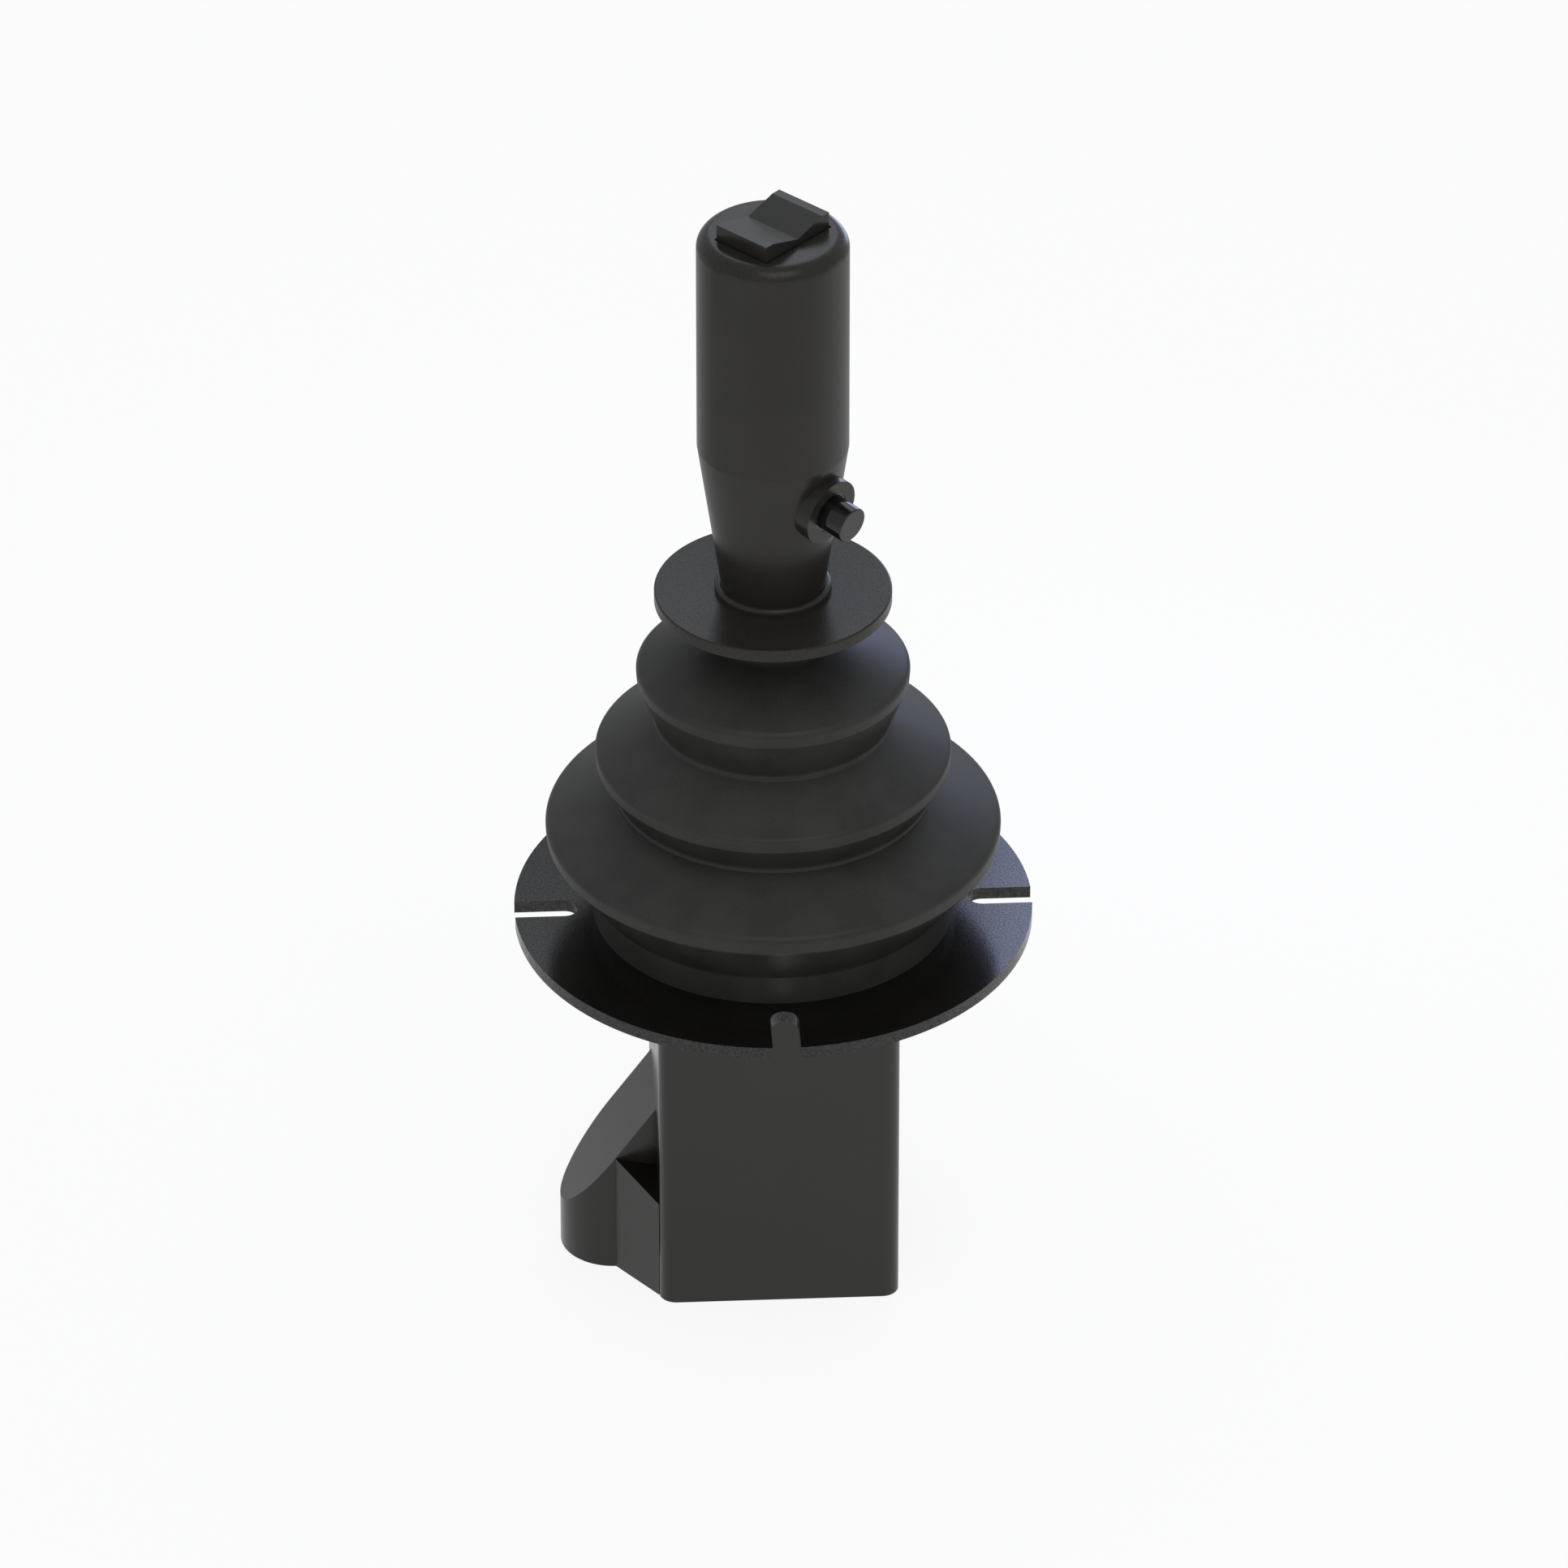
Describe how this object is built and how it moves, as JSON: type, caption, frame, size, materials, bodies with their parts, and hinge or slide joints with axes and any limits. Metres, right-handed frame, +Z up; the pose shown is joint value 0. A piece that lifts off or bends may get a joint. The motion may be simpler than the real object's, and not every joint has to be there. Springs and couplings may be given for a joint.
{
  "type": "industrial joystick",
  "caption": "Panel-mounted two-axis joystick: round slotted flange, square housing with connector fin, bellows boot, cylindrical grip with a rocker and a push button.",
  "frame": {"origin": "centre of the mounting flange's underside, on the lever's axis", "axes": "+Z up along the lever at rest, -Z into the panel; -Y is the front; -X is the side with the connector fin"},
  "size_m": [0.1198, 0.1198, 0.277],
  "materials": {
    "plate_paint": "satin dark grey powder paint with a fine grain",
    "housing_plastic": "fine-textured black glass-filled plastic",
    "grip_plastic": "smooth satin black moulding",
    "rocker_plastic": "satin black moulding",
    "button_gloss": "polished black",
    "boot_rubber": "matte black moulded rubber",
    "seal_rubber": "matte sheet",
    "gate_plastic": "natural acetal",
    "cast_alloy": "machined casting",
    "inner_plastic": "plain moulding",
    "shell_nickel": "satin nickel plate",
    "contact_brass": "machined",
    "bush_bronze": "sintered bronze",
    "zinc_steel": "zinc plated",
    "spring_steel": "drawn wire",
    "magnet_nickel": "nickel plate",
    "board_green": "solder-masked laminate",
    "chip_black": "moulded packages"
  },
  "bodies": {
    "base": {"flange": "plate_paint", "housing": "housing_plastic", "bottom_cover": "housing_plastic", "cover_gasket": "seal_rubber", "cover_screws": "zinc_steel", "connector_shell": "shell_nickel", "connector_insert": "inner_plastic", "connector_pins": "contact_brass", "gimbal_frame": "cast_alloy", "trunnion_bushes": "bush_bronze", "pitch_springs": "spring_steel", "sensor_standoffs": "contact_brass", "sensor_board": "board_green", "sensor_chip": "chip_black", "sensor_screws": "zinc_steel", "main_board": "board_green", "main_board_screws": "zinc_steel", "board_components": "chip_black", "gate_plate": "gate_plastic", "gate_screws": "zinc_steel", "boot_clamp_ring": "zinc_steel", "clamp_screws": "zinc_steel", "boot": "boot_rubber", "frame_screws": "zinc_steel", "housing_screws": "zinc_steel"},
    "gimbal": {"gimbal_ring": "cast_alloy", "trunnion_pins": "zinc_steel", "cross_pin": "zinc_steel", "roll_springs": "spring_steel"},
    "lever": {"lever_hub": "cast_alloy", "hub_bushes": "bush_bronze", "lever_shaft": "zinc_steel", "shaft_roll_pin": "zinc_steel", "magnet_holder": "inner_plastic", "magnet": "magnet_nickel", "boot_spigot": "inner_plastic", "boot_top_plate": "plate_paint", "neck_ring": "grip_plastic", "grip_body": "grip_plastic", "grip_nut": "zinc_steel", "grip_cap": "grip_plastic", "rocker_pin": "zinc_steel", "switch_carrier": "inner_plastic", "rocker_switches": "inner_plastic", "rocker_springs": "spring_steel", "button_sleeve": "button_gloss", "button_nut": "contact_brass", "button_switch": "inner_plastic", "button_spring": "spring_steel"},
    "rocker": {"rocker_cap": "rocker_plastic"},
    "button": {"button_plunger": "button_gloss", "button_clip": "spring_steel"}
  },
  "joints": [
    {"name": "lever_pitch", "type": "hinge", "parent": "base", "child": "gimbal", "pos_m": [0, 0, -0.016], "axis": [1, 0, 0], "range_deg": [-20, 20], "stiffness_Nm_per_rad": 4, "deforming": ["boot", "pitch_springs"]},
    {"name": "lever_roll", "type": "hinge", "parent": "gimbal", "child": "lever", "pos_m": [0, 0, -0.016], "axis": [0, 1, 0], "range_deg": [-20, 20], "stiffness_Nm_per_rad": 4, "deforming": ["roll_springs"]},
    {"name": "rocker_tilt", "type": "hinge", "parent": "lever", "child": "rocker", "pos_m": [0, 0, 0.1809], "axis": [-0.7071, 0.7071, 0], "range_deg": [-7, 7], "stiffness_Nm_per_rad": 0.12, "deforming": ["rocker_springs"]},
    {"name": "button_press", "type": "slide", "parent": "lever", "child": "button", "axis": [-0.6999, 0.6999, 0.1428], "range_m": [0, 0.003], "stiffness_N_per_m": 800, "springref_m": -0.001, "deforming": ["button_spring"]}
  ]
}
